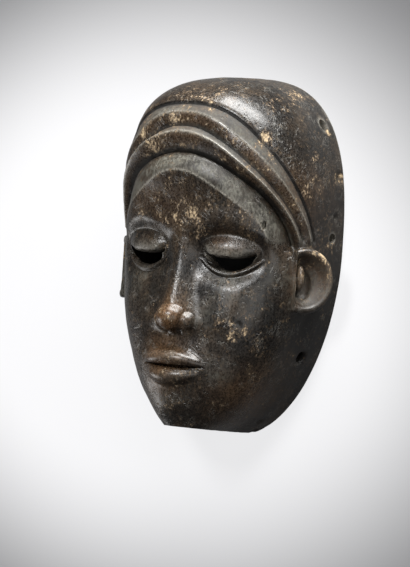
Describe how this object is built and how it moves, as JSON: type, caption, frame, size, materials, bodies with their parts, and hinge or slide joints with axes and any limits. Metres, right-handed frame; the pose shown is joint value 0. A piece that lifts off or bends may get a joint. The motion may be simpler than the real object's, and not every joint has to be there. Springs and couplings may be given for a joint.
{
  "type": "carved face mask",
  "caption": "Carved wooden face mask with a hollow back, pierced half-closed eyes, dish-shaped ears and ridged bands of hair over the forehead.",
  "frame": {"origin": "centre of the back rim's outline, in the plane of the rim; the mask lies on this rim", "axes": "+Z is the way the face looks (up, as the mask lies), +Y towards the crown of the head, +X towards the wearer's left"},
  "size_m": [0.188, 0.26, 0.0978],
  "materials": {
    "dark_wood": "dark, partly polished patina, worn to bare brown wood on ridges and chips, with greyish dust in the hollows"
  },
  "bodies": {
    "root": {"mask": "dark_wood"}
  },
  "joints": []
}
